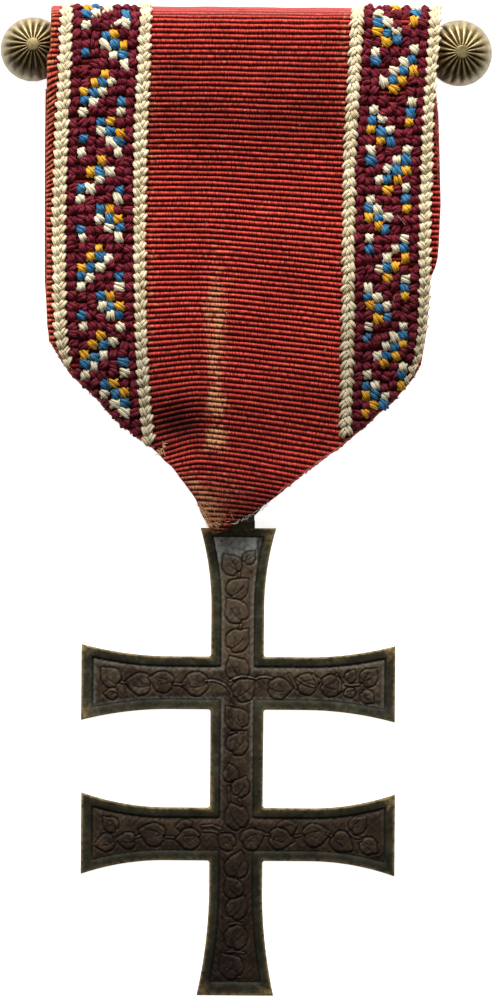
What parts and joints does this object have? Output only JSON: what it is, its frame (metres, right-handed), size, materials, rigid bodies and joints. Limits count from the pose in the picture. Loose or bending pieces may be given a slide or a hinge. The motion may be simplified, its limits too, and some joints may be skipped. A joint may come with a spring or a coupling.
{
  "type": "war cross medal on an embroidered ribbon with a brooch bar",
  "caption": "Dark bronze double-barred cross with linden-leaf relief, hung by a ring from a pointed red ribbed ribbon with cross-stitched bands, on a bar with ribbed round knobs.",
  "frame": {"origin": "middle of the upper crossing of the cross, on its flat back, which lies on the floor", "axes": "+X to the wearer's left as the front is seen from above, +Y up the cross towards the ribbon's top fold, +Z out of the front"},
  "size_m": [0.049, 0.0994, 0.0063],
  "materials": {
    "cross_bronze": "dark brown patina on the raised panel, green-black rim, brassy where the edges are worn",
    "ring_bronze": "dark patinated bronze wire",
    "ribbon_red": "ribbed silk rep, faded in a pale vertical streak",
    "thread_maroon": "cross-stitched cotton thread",
    "thread_blue": "cross-stitched cotton thread",
    "thread_yellow": "cross-stitched cotton thread",
    "thread_cream": "cross-stitched cotton thread",
    "braid_cream": "plaited cotton braid",
    "hanger_brass": "aged sheet brass",
    "knob_brass": "aged brass, bright on the ribs and dark in the valleys",
    "pin_steel": "drawn steel wire"
  },
  "bodies": {
    "root": {"cross": "cross_bronze", "suspension_ring": "ring_bronze", "ribbon": "ribbon_red", "embroidery_left": "thread_maroon", "embroidery_right": "thread_maroon", "braid_left_outer": "braid_cream", "braid_left_inner": "braid_cream", "braid_right_inner": "braid_cream", "braid_right_outer": "braid_cream", "hanger_bar": "hanger_brass", "knob_left": "knob_brass", "knob_right": "knob_brass", "brooch_pin": "pin_steel"}
  },
  "joints": []
}
